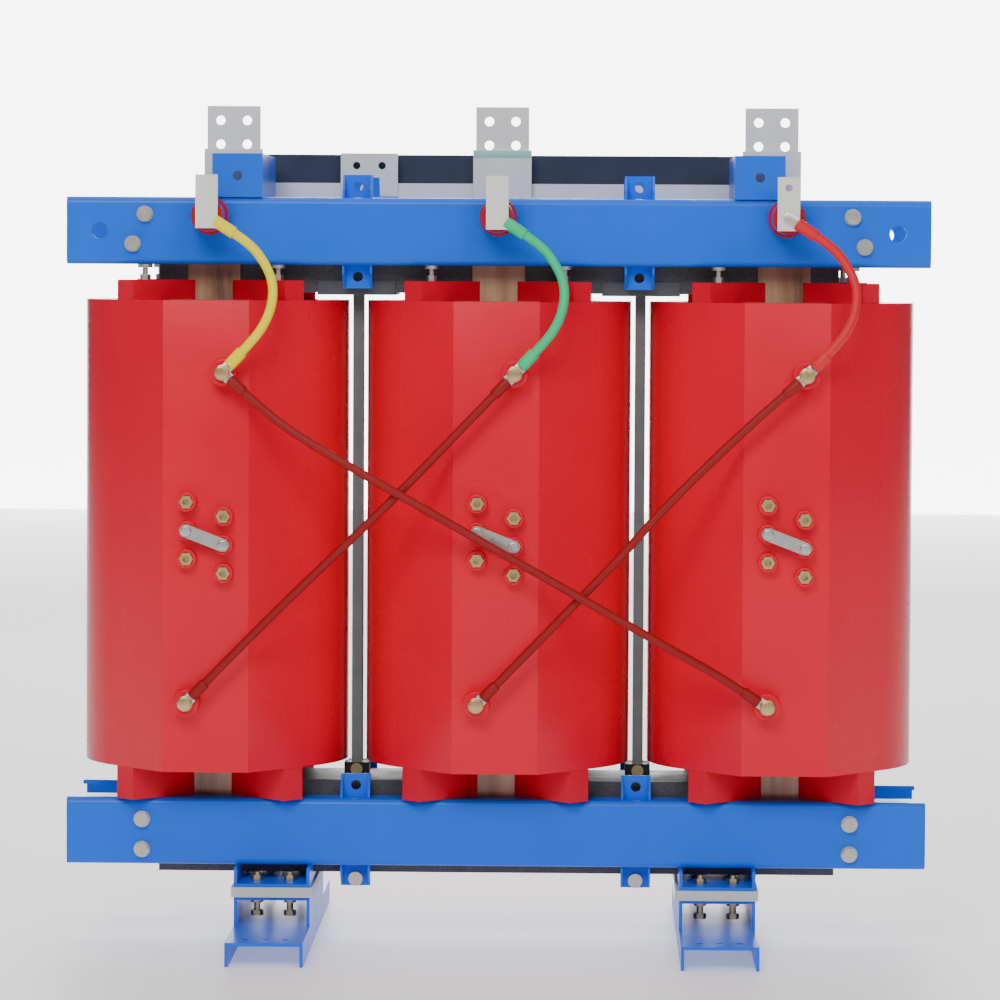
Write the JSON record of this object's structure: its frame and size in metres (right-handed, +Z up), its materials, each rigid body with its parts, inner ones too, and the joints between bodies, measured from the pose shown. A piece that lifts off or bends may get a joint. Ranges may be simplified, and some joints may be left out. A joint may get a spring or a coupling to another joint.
{
  "type": "dry type transformer",
  "caption": "Cast-resin dry-type power transformer: three red coils on a laminated core, blue clamps and base rails, delta cables in front and low-voltage busbars at the back.",
  "frame": {"origin": "on the floor, under the middle of the overall box, which is the middle of the core", "axes": "+X to the right along the row of phases, +Y to the back, where the low-voltage busbars are, so the high-voltage front faces -Y, +Z up"},
  "size_m": [1.564, 0.83, 1.541],
  "materials": {
    "core_steel": "stacked laminations, dark varnish",
    "tie_wrap": "steel plates under amber polyester film",
    "blue_paint": "glossy blue enamel on folded steel",
    "zinc": "bright zinc plated",
    "yellow_zinc": "yellow passivated zinc on steel",
    "brass": "turned brass",
    "hv_resin": "glossy red cast resin",
    "block_resin": "glossy red moulded resin",
    "post_resin": "glossy red-brown cast resin",
    "lv_wrap": "foil winding in resin-soaked film",
    "tinned_bar": "tinned copper bar",
    "board": "dark navy insulating board",
    "spacer": "moulded insulating spacer",
    "strut_grey": "satin grey coated steel channel",
    "saddle_steel": "satin grey coated steel",
    "shoe_rubber": "black moulded rubber",
    "pad": "pale insulating rubber",
    "lug_sleeve": "tinned lug under shrink sleeve",
    "lead_yellow": "yellow shrink sleeve",
    "lead_green": "green shrink sleeve",
    "lead_red": "red shrink sleeve",
    "delta_red": "dark red silicone insulation"
  },
  "bodies": {
    "root": {"base_rails": "blue_paint", "bottom_blocks_a": "block_resin", "bottom_blocks_b": "block_resin", "bottom_blocks_c": "block_resin", "busbar_board": "board", "busbar_spacers": "spacer", "clamp_bolts": "zinc", "core_frame": "core_steel", "delta_lead_ac": "delta_red", "delta_lead_ba": "delta_red", "delta_lead_cb": "delta_red", "delta_lugs": "lug_sleeve", "foot_bolts": "yellow_zinc", "foot_pads": "pad", "front_tie_plates": "tie_wrap", "hv_bar_a": "tinned_bar", "hv_bar_b": "tinned_bar", "hv_bar_c": "tinned_bar", "hv_coil_a": "hv_resin", "hv_coil_b": "hv_resin", "hv_coil_c": "hv_resin", "jack_screws": "zinc", "lead_a": "lead_yellow", "lead_b": "lead_green", "lead_c": "lead_red", "lead_lugs": "lug_sleeve", "lower_clamp_front": "blue_paint", "lower_clamp_rear": "blue_paint", "lower_foot_channels": "blue_paint", "lower_tie_rods": "zinc", "lv_coil_a": "lv_wrap", "lv_coil_b": "lv_wrap", "lv_coil_c": "lv_wrap", "lv_risers": "tinned_bar", "lv_terminals": "tinned_bar", "neutral_bar": "tinned_bar", "neutral_risers": "tinned_bar", "neutral_terminal": "tinned_bar", "phase_strut_left": "strut_grey", "phase_strut_right": "strut_grey", "post_insulators": "post_resin", "rear_tie_plates": "tie_wrap", "strut_bolts": "yellow_zinc", "strut_saddles": "saddle_steel", "strut_shoes": "shoe_rubber", "tap_link_a": "zinc", "tap_link_b": "zinc", "tap_link_c": "zinc", "terminal_bolts": "brass", "terminal_inserts_a": "brass", "terminal_inserts_b": "brass", "terminal_inserts_c": "brass", "top_blocks_a": "block_resin", "top_blocks_b": "block_resin", "top_blocks_c": "block_resin", "top_cross_members": "blue_paint", "top_yoke": "core_steel", "upper_clamp_front": "blue_paint", "upper_clamp_rear": "blue_paint", "upper_foot_channels": "blue_paint"}
  },
  "joints": []
}
